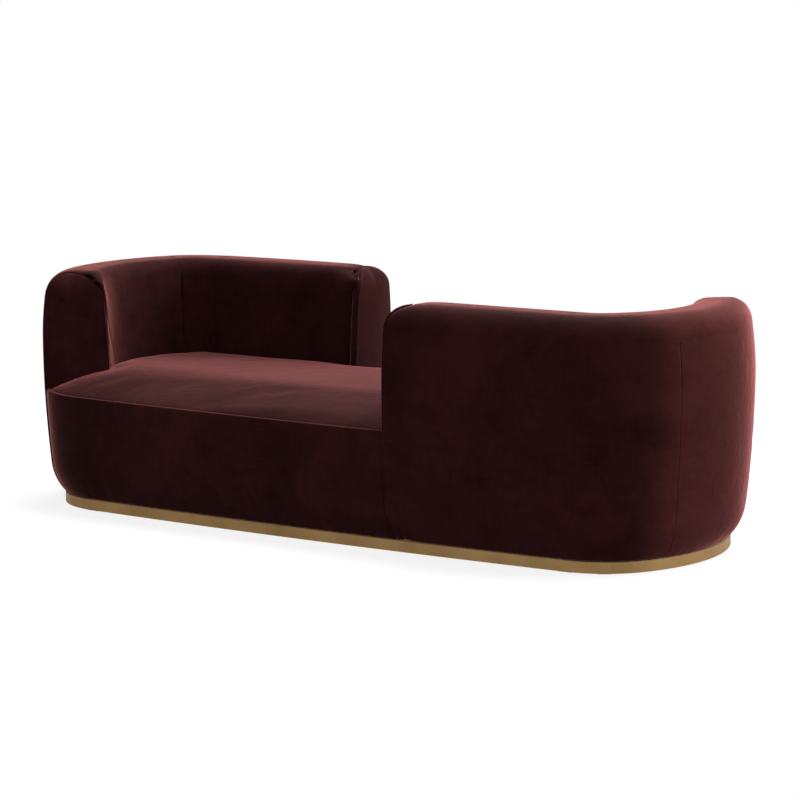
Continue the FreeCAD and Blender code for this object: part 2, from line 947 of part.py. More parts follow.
def make_bolts():
    """Hexagon-head bolts, all alike, down through the wings' bottom rails."""
    body = new_body("wing_bolts")
    head_low = size("box_height") + size("rail")
    shank_low = size("seat_ring_low") + soft_gap
    shanks = plan_sketch(body, shank_low)
    for spot in bolt_spots(both_wings=True):
        draw_circle(shanks, spot, size("bolt_round"))
    pad(body, shanks, head_low - shank_low)
    heads = plan_sketch(body, head_low)
    for x, y in bolt_spots(both_wings=True):
        corners = []
        for number in range(6):
            turn = as_size(60 * number)
            corners.append((x + size("bolt_head") * cosine(turn), y + size("bolt_head") * sine(turn)))
        draw_corners(heads, corners)
    pad(body, heads, size("bolt_head_height"))
    return body


# Seat support, foam and covers

def make_straps():
    cross = new_body("cross_straps")
    sketch = plan_sketch(cross, size("box_height"))
    first = -size("strap_pitch") * (size("strap_count") - 1) / 2
    draw_box(sketch, first, size("strap_width") / 2, zero, size("strap_reach"))
    strap = pad(cross, sketch, size("strap_sheet"))
    pattern = cross.newObject("PartDesign::LinearPattern", "cross_straps_row")
    pattern.Originals = [strap]
    pattern.Direction = (sketch, ["H_Axis"])
    set_size(pattern, "Length", size("strap_pitch") * (size("strap_count") - 1))
    pattern.Occurrences = int(size("strap_count").value)
    pattern.setExpression("Occurrences", size("strap_count").text)
    cross.Tip = pattern
    along = new_body("long_straps")
    sketch = plan_sketch(along, size("box_height") + size("strap_sheet"))
    for step in (-1, 0, 1):
        centre = size("long_strap_pitch") * step
        draw_box(sketch, zero, size("long_strap_reach"), centre, size("strap_width") / 2)
    pad(along, sketch, size("strap_sheet"))
    return [cross, along]


def draw_box(sketch, x, half_x, y, half_y):
    corners = [
        (x - half_x, y - half_y),
        (x + half_x, y - half_y),
        (x + half_x, y + half_y),
        (x - half_x, y + half_y),
    ]
    draw_corners(sketch, corners)


def crowned_seat(name, edge, inner, low, inset):
    """A block with the seat's plan and its crown, drawn in from the cover's top."""
    body = new_body(name)
    sketch = plan_sketch(body, low)
    draw_loop(sketch, *seat_loop(edge, inner))
    pad(body, sketch, size("seat_height") - inset - low)
    return turned(body, relief_section(inset), ring(), cut=True)


def make_seat():
    edge = size("border_edge")
    inner = -size("face_in") - soft_gap
    felt_low = size("box_height") + 2 * size("strap_sheet")
    felt = new_body("seat_felt")
    sketch = plan_sketch(felt, felt_low)
    draw_loop(sketch, *seat_loop(-size("base_inset") - soft_gap, inner))
    pad(felt, sketch, size("felt"))
    foam_edge = belly_point(zero, size("border_setback") + under_cover, size("deck_height"))[0]
    foam = crowned_seat("seat_foam", foam_edge, inner, size("deck_height"), under_cover)
    outer = crowned_seat("seat_cover_outside", edge, inner, size("seam_height") - 2 * cover, zero)
    spare = size("cut_spare")
    inside = crowned_seat("seat_cover_inside", edge + spare, inner + spare, size("deck_height"), cover)
    top = doc.addObject("Part::Cut", "seat_cover")
    top.Base = outer
    top.Tool = inside
    return [felt, foam, top]


def make_borders():
    front_pad = turned(new_body("front_border_pad"), border_pad_section, border_run)
    front_cover = turned(new_body("front_border_cover"), border_cover_section, border_run)
    return [
        front_pad,
        half_turn(front_pad, "back_border_pad"),
        front_cover,
        half_turn(front_cover, "back_border_cover"),
    ]


# The right wing; the left one is the same, turned

def make_posts():
    """Five upright posts between the wing's bottom and top rails."""
    body = new_body("right_wing_posts")
    sketch = plan_sketch(body, size("post_low"))
    middle = size("frame_out") - size("frame_depth") / 2
    deep = size("frame_depth") - 2 * size("post_setback")
    wide = size("post_width")
    inset = (size("facing_depth") + wide / 2 + size("post_clearance")) / size("side_arc")
    along = size("corner_x") / size("side_arc")
    spots = [
        (front_side, wing_from + arcsine(inset)),
        (front_side, 270 + arcsine(along)),
        (front_right, (front_right.start + front_right.end) / 2),
        (right_end, as_size(360)),
        (right_end, 360 + end_turn - arcsine(size("post_clearance") / size("corner_round"))),
    ]
    for sector, turn in spots:
        draw_across(sketch, sector, middle, turn, deep, wide)
    pad(body, sketch, size("post_top") - size("post_low"))
    return body


def make_wing_frame():
    outer = size("frame_out")
    inner = outer - size("frame_depth")
    liner = size("liner")
    bottom = strip("right_wing_bottom_rail", pad_run, outer, inner, size("box_height"), size("post_low"))
    drill(bottom, size("box_height"), size("rail"), bolt_spots(both_wings=False))
    rail_top = size("post_top") + size("rail")
    top = strip("right_wing_top_rail", pad_run, outer, inner, size("post_top"), rail_top)
    outside = outer + soft_gap
    inside = inner - soft_gap
    low = size("box_height")
    outer_liner = strip("right_wing_outer_liner", pad_run, outside + liner, outside, low, rail_top)
    inner_liner = strip("right_wing_inner_liner", pad_run, inside, inside - liner, low, rail_top)
    return [bottom, make_posts(), top, outer_liner, inner_liner]


def make_wing_padding():
    outer_pad = turned(new_body("right_wing_outer_pad"), outer_pad_section, pad_run)
    roll = turned(new_body("right_wing_top_roll"), roll_section, pad_run)
    panels = {"back": pad_run[:1], "corner": pad_run[1:2], "end": pad_run[2:]}
    pads = []
    for place, sectors in panels.items():
        pads.append(turned(new_body("right_wing_%s_pad" % place), inner_pad_section, sectors))
    return [outer_pad, roll] + pads


def make_wing_covers():
    outer = turned(new_body("right_wing_outer_cover"), outer_cover_section, pad_run)
    inner = turned(new_body("right_wing_inner_cover"), inner_cover_section, pad_run)
    return [outer, inner]


def make_facings():
    """Each end of the wing: a wedge of foam and the cloth that closes it."""
    starts = front_side.cut(start=wing_from, end=pads_from)
    ends = back_right.cut(start=pads_to, end=wing_to)
    pieces = []
    facings = (("start", starts, wing_from, False), ("end", ends, wing_to, True))
    for place, sector, turn, reverse in facings:
        foam = turned(new_body("right_wing_%s_facing_pad" % place), facing_pad_section, [sector])
        cloth = turned(new_body("right_wing_%s_facing_cover" % place), facing_rim_section, [sector])
        sketch = radial_sketch(cloth, sector, turn)
        draw_loop(sketch, *facing_section(sector.radius, zero, size("band_height")))
        pad(cloth, sketch, cover, reverse)
        pieces += [foam, cloth]
    return pieces


def make_wing():
    right = make_wing_frame() + make_wing_padding() + make_wing_covers() + make_facings()
    left = [half_turn(piece, piece.Name.replace("right", "left")) for piece in right]
    return right + left


def export(pieces):
    """Check everything that was built, then write one file for each piece."""
    doc.recompute()
    for thing in doc.Objects:
        if "Invalid" in thing.State or "Error" in thing.State:
            raise RuntimeError("%s failed: %s" % (thing.Name, thing.State))
    os.makedirs("parts", exist_ok=True)
    for piece in pieces:
        piece.Label = piece.Name
        if piece.Shape.isNull() or not piece.Shape.isValid():
            raise RuntimeError("%s has no valid shape" % piece.Name)
    for piece in pieces:
        piece.Shape.exportStep("parts/%s.step" % piece.Label)


pieces = make_plinth() + make_box() + [make_bolts()] + make_straps() + make_seat() + make_borders()
pieces += make_wing()
export(pieces)
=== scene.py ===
import json
import math

import bpy
import numpy as np
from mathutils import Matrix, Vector


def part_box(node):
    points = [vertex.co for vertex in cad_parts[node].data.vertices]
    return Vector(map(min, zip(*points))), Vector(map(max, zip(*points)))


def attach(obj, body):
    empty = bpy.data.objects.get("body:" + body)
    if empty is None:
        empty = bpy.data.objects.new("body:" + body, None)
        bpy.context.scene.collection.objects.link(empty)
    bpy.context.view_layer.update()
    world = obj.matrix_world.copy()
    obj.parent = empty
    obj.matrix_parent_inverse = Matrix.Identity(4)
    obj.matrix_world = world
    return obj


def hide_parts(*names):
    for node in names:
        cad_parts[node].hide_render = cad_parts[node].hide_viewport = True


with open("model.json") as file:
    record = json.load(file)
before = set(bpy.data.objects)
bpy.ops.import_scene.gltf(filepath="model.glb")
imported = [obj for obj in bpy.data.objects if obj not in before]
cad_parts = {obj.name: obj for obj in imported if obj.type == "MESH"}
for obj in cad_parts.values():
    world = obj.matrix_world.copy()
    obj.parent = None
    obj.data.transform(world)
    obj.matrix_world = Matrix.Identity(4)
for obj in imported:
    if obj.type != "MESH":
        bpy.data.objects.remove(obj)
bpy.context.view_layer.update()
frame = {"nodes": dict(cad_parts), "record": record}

# Two-way chaise longue, in metres and degrees. Every soft piece follows the plinth's outline, which
# is a ring of eight tangent arcs, with offsets from it positive outwards. The left wing is the right
# wing turned half a turn about Z, and the back border and bands are the front ones turned so too.

# Main sizes, from the frame, and the seat's seam above the foot of its foam
HALF_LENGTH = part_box("plinth_band_right_end")[1].x
HALF_DEPTH = -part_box("plinth_band_front")[0].y
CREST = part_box("right_wing_inner_cover")[1].z
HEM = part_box("front_border_cover")[0].z
SEAM_RISE = 0.049
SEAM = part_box("seat_foam")[0].z + SEAM_RISE

# The plinth's outline, and where the right wing and its outer seam stand on it
CORNER_ROUND = 0.235
SIDE_BOW = 0.021
END_BOW = 0.039
WING_START = 0.280
WING_TURN = 42.4
OUTER_SEAM = 22.7

# Outer wall, crown and inner face of a wing, as in the frame
WIDEST = 0.0625
HEM_BREAK = 0.126
HEM_ROUND = 0.157
BELLY_HEIGHT = 0.510
BELLY_ROUND = 3.620
UPPER_ROUND = 1.060
SHOULDER_ROUND = 0.073
CROWN_ROUND = 1.500
CROWN_WIDTH = 0.066
LIP_ROUND = 0.045
FACE_LEAN = 2.2
FACE_FOOT = 0.385
ROLL_SEAM = 0.648

# Facings, which are lower than the crown, have a rounder lip and are rounded back at the top
FACING_DEPTH = 0.040
FACING_DROP = 0.006
FACING_ROUND = 0.073
FACING_LIP = 0.100
FACING_INNER = -0.127
FACING_LEAN = 4.5
FACING_BEND = 0.43
FACING_FOOT = 0.37
FACING_EDGE = 0.0035
FACING_DOME = 0.0055
FACING_STEP = 0.009
END_ROUND = 0.045
END_ROUND_HIGH = 0.060

# Where a facing meets the wing's panels: how far they stop short of it outside, how far it goes in
# under them, how much it narrows inside, and its welt
EDGE_SHORT = 0.0025
PAD_SKIN = 0.005
WAIST = 0.018
WAIST_CURVE = 1.4
WELT = 0.0014
WELT_OUT = 0.002
WELT_BACK = 0.0012

# The inner side of a facing below the seat, which is out of sight, and where the part seen begins
BURIED_SIDE = ((-0.03, 0.34), (-0.03, 0.20), (-0.04, HEM))
BURIED_TOP = 0.36
BURIED_BLEND = 0.05

# The border between the wings sits this far back from the wings' wall, from a little above its hem
BORDER_SETBACK = 0.002
BORDER_BLEND = 0.05

# Where a wing's outer side blends into its inner face, by offset and by depth below the crest
INNER_FROM = -0.020
INNER_FULL = -0.075
INNER_DROP = 0.008
INNER_BLEND = 0.100

# Panels: their grid, thickness, waves, swell and seams
STEP = 0.011
SEAM_ROWS = np.array([0, 0.001, 0.0022, 0.0035, 0.0045, 0.0055, 0.008, 0.012])
END_BLEND = 0.3
PANEL_THICK = 0.014
WAVES = 0.0012
WAVE_LENGTH = 0.45
WAVE_BLEND = 0.06
START_BELOW = 0.002
SWELL = 0.006
FLAT_SHARE = 0.15
FLAT_BLEND = 0.15
SEAM_OUTSIDE = 0.35
STITCH_SHARE = 0.11
LIP_BLEND = 0.080
GATHER = 0.0018
PUCKERS = (0.012, 0.10, 0.23, 0.31)
TOP_PUCKER = 0.016

# Seams, as the depth and width of the turn-in
FIRM = (0.0040, 0.006)
LIGHT = (0.0022, 0.004)
FAINT = (0.0010, 0.003)
FLUSH = (0, 0.001)
DEEP = (0.018, 0.026)
TUCKED = (0.007, 0.014)
WIDE = (0.0055, 0.011)

# Cloth under pressure
CLOTH_FRAMES = 20
CLOTH_PRESSURE = 4.0
PINNED = 0.0005
PANEL_STIFFNESS = 18.0
PANEL_SLACK = 0.004

# Seat cushion: the size of its mesh, its waves, and how far below its seam it waves and is held
SEAT_GRAIN = 0.009
SEAT_WAVES = 0.0015
SEAT_WAVE_LENGTH = 0.5
SEAT_WAVES_BELOW = 0.012
SEAT_HELD_BELOW = 0.004
SEAT_STIFFNESS = 60.0
SEAT_SLACK = 0.0
SEAT_SWELL = 0.003

# Brass band: its joints, sheet and edges
LONG_JOINT = 0.772
SHORT_JOINT = 0.728
CORNER_JOINT = 53.1
JOINT_GAP = 0.0002
BAND_SHEET = 0.0015
BAND_RETURN = 0.0055
BAND_EDGE = 0.0006
BAND_CLEAR = 0.0002
BAND_STEP = 0.012

# Velvet: its own colours, a lighter copy of them painted round the right end as painted light from the
# right, and where that painted light lies
SHEEN = (0.62, 0.205, 0.19, 1)
LAID_NAP = ((0.0095, 0.0016, 0.0016), (0.0210, 0.0042, 0.0042))
# Painted light: the velvet's colours made lighter for the right end, where light from the right side
# falls
PAINTED_LIGHT_TONES = ((0.0290, 0.0064, 0.0057), (0.0450, 0.0102, 0.0092))
PAINTED_LIGHT_X = (0.88, 1.00)
PAINTED_LIGHT_Y = (-0.33, -0.20)

# Camera and stage
CAMERA_AT = Vector((4.853, -7.466, 1.742))
CAMERA_AIM = Vector((-0.5348, 0.831, -0.1531))
LENS = 135.54
SENSOR = 36.0
FLOOR_SIZE = 30.0
FLOOR_WHITE = (1.6, 3.2)
FLOOR_FADE = (0.80, 1.0)
FLOOR_BOUNCE = (0.55, 1.0)
ROOM_LIGHT = 0.58


# Plan

class Sector:
    """One arc of the plinth's outline, in degrees, anticlockwise from above."""

    def __init__(self, centre, radius, start, end):
        self.centre = centre
        self.radius = radius
        self.start = start
        self.end = end

    def cut(self, start=None, end=None):
        low = self.start if start is None else start
        high = self.end if end is None else end
        return Sector(self.centre, self.radius, low, high)


CORNER_X = HALF_LENGTH - CORNER_ROUND - END_BOW
CORNER_Y = HALF_DEPTH - CORNER_ROUND - SIDE_BOW
SIDE_CORE = (CORNER_X ** 2 + SIDE_BOW ** 2) / (2 * SIDE_BOW)
END_CORE = (CORNER_Y ** 2 + END_BOW ** 2) / (2 * END_BOW)
SIDE_ARC = SIDE_CORE + CORNER_ROUND
END_ARC = END_CORE + CORNER_ROUND
SIDE_TURN = math.degrees(math.asin(CORNER_X / SIDE_CORE))
END_TURN = math.degrees(math.asin(CORNER_Y / END_CORE))

# The arcs in use. What stands on the other two is turned from these
front_left = Sector((-CORNER_X, -CORNER_Y), CORNER_ROUND, 180 + END_TURN, 270 - SIDE_TURN)
front_side = Sector((0, SIDE_ARC - HALF_DEPTH), SIDE_ARC, 270 - SIDE_TURN, 270 + SIDE_TURN)
front_right = Sector((CORNER_X, -CORNER_Y), CORNER_ROUND, 270 + SIDE_TURN, 360 - END_TURN)
right_end = Sector((HALF_LENGTH - END_ARC, 0), END_ARC, 360 - END_TURN, 360 + END_TURN)
back_right = Sector((CORNER_X, CORNER_Y), CORNER_ROUND, 360 + END_TURN, 450 - SIDE_TURN)
back_side = Sector((0, HALF_DEPTH - SIDE_ARC), SIDE_ARC, 450 - SIDE_TURN, 450 + SIDE_TURN)

WING_FROM = 270 + math.degrees(math.asin(WING_START / SIDE_ARC))
WING_TO = 360 + WING_TURN
OUTER_SEAM_TURN = 360 - OUTER_SEAM


class Run:
    """A row of sectors walked by length, which is measured a little outside the outline."""

    def __init__(self, sectors, measured_at=0.03):
        self.sectors = sectors
        self.reach = measured_at
        spans = [math.radians(s.end - s.start) * (s.radius + measured_at) for s in sectors]
        self.marks = np.concatenate([[0], np.cumsum(spans)])
        self.length = self.marks[-1]

    def frames(self, along):
        """Centre, radius and direction of the outline at each length along the run."""
        along = np.asarray(along)
        index = np.searchsorted(self.marks, along, side="right") - 1
        index = np.clip(index, 0, len(self.sectors) - 1)
        centre = np.array([sector.centre for sector in self.sectors], float)[index]
        radius = np.array([sector.radius for sector in self.sectors], float)[index]
        start = np.array([sector.start for sector in self.sectors], float)[index]
        turn = np.radians(start) + (along - self.marks[index]) / (radius + self.reach)
        return centre, radius, np.stack([np.cos(turn), np.sin(turn)], -1)


# Sections: paths of points (offset, height), sampled finely

def arc(centre, radius, start, end, count=24):
    """Points on an arc between two angles."""
    turns = np.radians(np.linspace(start, end, count))
    return [(centre[0] + radius * math.cos(t), centre[1] + radius * math.sin(t)) for t in turns]


def turn_at(height, centre_height, radius):
    """The angle on an arc at a height."""
    return math.degrees(math.asin((height - centre_height) / radius))


BELLY_X = WIDEST - BELLY_ROUND
HEM_TURN = turn_at(HEM_BREAK, BELLY_HEIGHT, BELLY_ROUND)
HEM_CENTRE = (
    BELLY_X + (BELLY_ROUND - HEM_ROUND) * math.cos(math.radians(HEM_TURN)),
    BELLY_HEIGHT + (BELLY_ROUND - HEM_ROUND) * math.sin(math.radians(HEM_TURN)),
)
UPPER_X = WIDEST - UPPER_ROUND
ROLL_TURN = turn_at(ROLL_SEAM, BELLY_HEIGHT, UPPER_ROUND)
SHOULDER_Z = CREST - SHOULDER_ROUND
SHOULDER_TURN = turn_at(SHOULDER_Z, BELLY_HEIGHT, UPPER_ROUND - SHOULDER_ROUND)
SHOULDER_X = UPPER_X + (UPPER_ROUND - SHOULDER_ROUND) * math.cos(math.radians(SHOULDER_TURN))
CROWN_TURN = math.degrees(math.asin(CROWN_WIDTH / CROWN_ROUND))
LIP_X = SHOULDER_X - (CROWN_ROUND - LIP_ROUND) * math.sin(math.radians(CROWN_TURN))
LIP_Z = CREST - CROWN_ROUND + (CROWN_ROUND - LIP_ROUND) * math.cos(math.radians(CROWN_TURN))
FACING_TOP = CREST - FACING_DROP
FACING_Z = FACING_TOP - FACING_ROUND
FACING_TURN = turn_at(FACING_Z, BELLY_HEIGHT, UPPER_ROUND - FACING_ROUND)
FACING_X = UPPER_X + (UPPER_ROUND - FACING_ROUND) * math.cos(math.radians(FACING_TURN))

# Offsets of a facing's wall and inner side at a few heights; its face closes halfway between them
FACE_WALL = ((HEM, 0.0), (HEM_BREAK, 0.0422), (BELLY_HEIGHT, WIDEST), (0.66, 0.05))
FACE_INSIDE = ((0.34, -0.03), (FACING_FOOT, -0.139), (FACING_BEND, -0.137), (FACING_Z, -0.115))
FACE_FOOT_RISE = 0.03


def hem_wall(low):
    return arc(HEM_CENTRE, HEM_ROUND, turn_at(low, HEM_CENTRE[1], HEM_ROUND), HEM_TURN)


def belly_wall(high):
    return arc((BELLY_X, BELLY_HEIGHT), BELLY_ROUND, HEM_TURN, turn_at(high, BELLY_HEIGHT, BELLY_ROUND))


def upper_wall(start, end):
    return arc((UPPER_X, BELLY_HEIGHT), UPPER_ROUND, start, end)


def outer_path():
    return hem_wall(HEM) + belly_wall(BELLY_HEIGHT) + upper_wall(0, ROLL_TURN)


def inner_path():
    shoulder = arc((SHOULDER_X, SHOULDER_Z), SHOULDER_ROUND, SHOULDER_TURN, 90)
    crown = arc((SHOULDER_X, CREST - CROWN_ROUND), CROWN_ROUND, 90, 90 + CROWN_TURN)
    lip = arc((LIP_X, LIP_Z), LIP_ROUND, 90 + CROWN_TURN, 180 - FACE_LEAN)
    foot = lip[-1][0] - (lip[-1][1] - FACE_FOOT) * math.tan(math.radians(FACE_LEAN))
    return upper_wall(ROLL_TURN, SHOULDER_TURN) + shoulder + crown + lip + [(foot, FACE_FOOT)]


def border_path():
    wall = hem_wall(HEM) + belly_wall(SEAM)
    return [(x - BORDER_SETBACK * min(1, (z - HEM) / BORDER_BLEND), z) for x, z in wall]


def facing_path():
    wall = hem_wall(HEM) + belly_wall(BELLY_HEIGHT) + upper_wall(0, FACING_TURN)
    dome = arc((FACING_X, FACING_Z), FACING_ROUND, FACING_TURN, 90)
    lip_centre = (FACING_INNER + FACING_LIP, FACING_TOP - FACING_LIP)
    lip = arc(lip_centre, FACING_LIP, 90, 180 - FACING_LEAN)
    foot = lip[-1][0] - (lip[-1][1] - FACING_BEND) * math.tan(math.radians(FACING_LEAN))
    return wall + dome + lip + [(foot, FACING_BEND), (foot, FACING_FOOT)]


class Path:
    """A section path walked by length, with its outward side."""

    def __init__(self, points):
        kept = [points[0]]
        for point in points[1:]:
            if math.dist(point, kept[-1]) > 1e-6:
                kept.append(point)
        self.points = np.array(kept)
        steps = np.linalg.norm(np.diff(self.points, axis=0), axis=1)
        self.marks = np.concatenate([[0], np.cumsum(steps)])
        self.length = self.marks[-1]
        self.over_crown = self.points[-1, 0] < INNER_FULL

    def spots(self, along):
        return np.stack([np.interp(along, self.marks, self.points[:, k]) for k in (0, 1)], 1)

    def at(self, along, reach=0.002):
        """The spot at each length, and the outward side there."""
        run = self.spots(along + reach) - self.spots(along - reach)
        run /= np.linalg.norm(run, axis=1)[:, None]
        return self.spots(along), np.stack([run[:, 1], -run[:, 0]], 1)


def spaced(length, step=STEP):
    """Marks along an edge, close together near both ends where seams are."""
    near = SEAM_ROWS
    count = max(2, int(round((length - 2 * near[-1]) / step)))
    middle = np.linspace(near[-1], length - near[-1], count + 1)
    return np.concatenate([near[:-1], middle, length - near[:-1][::-1]])


# Meshes

def new_object(name, points, faces, smooth=True):
    mesh = bpy.data.meshes.new(name)
    mesh.from_pydata([tuple(p) for p in points], [], faces)
    mesh.update()
    if smooth:
        mesh.shade_smooth()
    piece = bpy.data.objects.new(name, mesh)
    bpy.context.scene.collection.objects.link(piece)
    return piece


def coordinates(mesh):
    points = np.zeros(len(mesh.vertices) * 3)
    mesh.vertices.foreach_get("co", points)
    return points.reshape(-1, 3)


def apply_modifier(piece, modifier):
    bpy.context.view_layer.objects.active = piece
    with bpy.context.temp_override(object=piece):
        bpy.ops.object.modifier_apply(modifier=modifier.name)


def subdivide(piece):
    modifier = piece.modifiers.new("subdivision", "SUBSURF")
    modifier.levels = 1
    apply_modifier(piece, modifier)
    piece.data.shade_smooth()
    return piece


def half_turned(piece, name):
    """The same piece for the other side, turned half a turn about Z in its mesh."""
    mesh = piece.data.copy()
    points = coordinates(mesh) * np.array([-1, -1, 1])
    mesh.vertices.foreach_set("co", points.reshape(-1))
    mesh.update()
    twin = bpy.data.objects.new(name, mesh)
    bpy.context.scene.collection.objects.link(twin)
    return twin


def grid_faces(columns, rows):
    faces = []
    for i in range(columns - 1):
        for j in range(rows - 1):
            a = i * rows + j
            faces.append((a, a + rows, a + rows + 1, a + 1))
    return faces


def ring_faces(rings, count, flip=False):
    """Faces between closed rings of count points each."""
    faces = []
    for ring in range(rings - 1):
        for k in range(count):
            a = ring * count + k
            b = ring * count + (k + 1) % count
            if flip:
                a, b = b, a
            faces.append((a, b, b + count, a + count))
    return faces


def slab(name, front, back):
    """A closed pad from two grids of points that face away from each other."""
    columns, rows = front.shape[:2]
    count = columns * rows
    faces = grid_faces(columns, rows)
    faces += [tuple(count + k for k in reversed(face)) for face in faces]
    rim = [i * rows for i in range(columns)]
    rim += [(columns - 1) * rows + j for j in range(1, rows)]
    rim += [i * rows + rows - 1 for i in range(columns - 2, -1, -1)]
    rim += [j for j in range(rows - 2, 0, -1)]
    for here, there in zip(rim, rim[1:] + rim[:1]):
        faces.append((there, here, count + here, count + there))
    points = np.concatenate([front.reshape(-1, 3), back.reshape(-1, 3)])
    return new_object(name, points, faces)


def tube(name, line, radius, sides=8):
    tangent = np.gradient(line, axis=0)
    tangent /= np.linalg.norm(tangent, axis=1)[:, None]
    askew = np.array([0.31, 0.22, 0.92])
    side = np.cross(tangent, askew)
    side /= np.linalg.norm(side, axis=1)[:, None]
    up = np.cross(tangent, side)
    points = []
    for turn in np.linspace(0, math.tau, sides, endpoint=False):
        points.append(line + radius * (math.cos(turn) * side + math.sin(turn) * up))
    faces = ring_faces(len(line), sides)
    faces.append(tuple(range(sides))[::-1])
    faces.append(tuple((len(line) - 1) * sides + k for k in range(sides)))
    return new_object(name, np.stack(points, 1).reshape(-1, 3), faces)


def inflate(points, faces, pinned, cap, stiffness=PANEL_STIFFNESS, slack=PANEL_SLACK):
    """Cloth under pressure, held where it is pinned; the result as points, moved at most cap."""
    cloth_piece = new_object("cloth_run", points, faces)
    group = cloth_piece.vertex_groups.new(name="pinned")
    group.add([int(k) for k in np.nonzero(pinned)[0]], 1.0, "REPLACE")
    cloth = cloth_piece.modifiers.new("cloth", "CLOTH")
    settings = cloth.settings
    settings.quality = 4
    settings.mass = 0.3
    settings.tension_stiffness = stiffness
    settings.compression_stiffness = stiffness
    settings.shear_stiffness = stiffness / 2
    settings.bending_stiffness = 0.8
    settings.use_pressure = True
    settings.uniform_pressure_force = CLOTH_PRESSURE
    settings.shrink_min = -slack
    settings.vertex_group_mass = "pinned"
    settings.effector_weights.gravity = 0
    cloth.collision_settings.use_collision = False
    cloth.point_cache.frame_start = 1
    cloth.point_cache.frame_end = CLOTH_FRAMES
    scene = bpy.context.scene
    for number in range(1, CLOTH_FRAMES + 1):
        scene.frame_set(number)
    shape = cloth_piece.evaluated_get(bpy.context.evaluated_depsgraph_get())
    shift = coordinates(shape.data) - points
    scene.frame_set(1)
    bpy.data.objects.remove(cloth_piece)
    size = np.linalg.norm(shift, axis=1)
    share = cap * np.tanh(size / cap) / np.maximum(size, 1e-9)
    return points + shift * share[:, None]


# Waves, seams and folds in the cloth, and where along a wing they show

def smooth_noise(u, v, seed, length):
    """Soft waves with random directions, about as long as the length given."""
    waves = np.random.default_rng(seed)
    total = np.zeros(np.broadcast(u, v).shape)
    count = 6
    for _ in range(count):
        turn = waves.uniform(0, math.tau)
        size = length * waves.uniform(0.6, 1.6)
        phase = waves.uniform(0, math.tau)
        total = total + np.sin(math.tau * (u * math.cos(turn) + v * math.sin(turn)) / size + phase)
    return total / count


def roll_in(distance, depth, width):
    """How far a panel turns in towards a seam, at a distance from it."""
    share = np.clip(distance / width, 0, 1)
    return depth * (1 - np.sqrt(1 - (1 - share) ** 2))


def stitch(distance, depth, at=0.0048, width=0.0013):
    """The furrow that a row of stitches draws beside a seam."""
    return depth * np.exp(-((distance - at) / width) ** 2)


def pucker(distance, across, height=0.0022):
    """A few short folds that run out from one spot on a seam."""
    length = 0.020
    spread = 0.016
    pitch = 0.013
    drift = 0.006
    near = np.exp(-distance / length) * np.exp(-(across / spread) ** 2)
    return height * near * np.cos(math.tau * across / pitch + distance / drift)


def gathers(distance, across, height, seed):
    """Small folds that run out from a seam where the cloth is drawn in."""
    waves = np.random.default_rng(seed + 100)
    total = np.zeros_like(distance)
    count = 5
    for _ in range(count):
        pitch = waves.uniform(0.016, 0.034)
        phase = waves.uniform(0, math.tau)
        total += np.sin(math.tau * across / pitch + phase)
    length = 0.022
    start = 0.004
    return height * total / count * np.exp(-distance / length) * np.clip(distance / start, 0, 1)


def eased(share):
    return share * share * (3 - 2 * share)


def over_top(spots):
    """0 on the outer side of a wing's crown and 1 on its inner side."""
    return np.clip((spots[..., 0] - INNER_FROM) / (INNER_FULL - INNER_FROM), 0, 1)


def inner_share(spots):
    """1 on a wing's inner face, 0 on its outer side and over the crown, with a blend between."""
    below = np.clip((CREST - INNER_DROP - spots[..., 1]) / INNER_BLEND, 0, 1)
    return eased(np.minimum(over_top(spots), below))


def end_round(height):
    """How far a wing's top corner is rounded back from the plane of its end."""
    share = np.clip((height - FACING_TOP + END_ROUND_HIGH) / END_ROUND_HIGH, 0, 1)
    return END_ROUND * (1 - np.sqrt(1 - share ** 2))


def end_short(spots):
    """How far a wing's padding stops short of its end: a little outside, a facing's depth inside."""
    side = EDGE_SHORT + (FACING_DEPTH - EDGE_SHORT) * inner_share(spots)
    return np.maximum(side, EDGE_SHORT + end_round(spots[..., 1]))


def lip_pull(away):
    """How far the top is drawn in beside a facing, which is lower and has a rounder lip."""
    corner = np.clip(-2 * away[:, 0] * away[:, 1], 0, 1)
    top = np.clip(away[:, 1], 0, 1)
    return FACING_DROP * top ** 2 + (FACING_LIP - LIP_ROUND) * (math.sqrt(2) - 1) * corner ** 2


def seam_share(path, spots, beside_facing):
    """A seam over a wing fades out on the outer side, but the one beside a facing stays there."""
    if not path.over_crown:
        return np.ones(len(spots))
    if beside_facing:
        return SEAM_OUTSIDE + (1 - SEAM_OUTSIDE) * inner_share(spots)
    return over_top(spots)


# Panels

class Grid:
    """A panel's points, with their outward sides and their distances to its four edges."""

    def __init__(self, run, path, beside):
        along = spaced(run.length)
        up = spaced(path.length)
        self.spots, self.away = path.at(up)
        at_start, at_end = (end_short(self.spots)[None, :] * near for near in beside)
        near_start = np.clip(1 - along / END_BLEND, 0, 1)[:, None]
        near_end = np.clip(1 - (run.length - along) / END_BLEND, 0, 1)[:, None]
        self.u = along[:, None] + at_start * near_start - at_end * near_end
        self.v = np.tile(up, (len(along), 1))
        self.distances = (
            self.u - at_start,
            run.length - at_end - self.u,
            self.v,
            path.length - self.v,
        )
        centre, radius, out = run.frames(self.u)
        reach = radius + self.spots[None, :, 0]
        self.points = np.zeros(self.u.shape + (3,))
        self.points[:, :, :2] = centre + reach[:, :, None] * out
        self.points[:, :, 2] = self.spots[None, :, 1]
        self.normals = np.zeros_like(self.points)
        self.normals[:, :, :2] = self.away[None, :, 0, None] * out
        self.normals[:, :, 2] = self.away[None, :, 1]


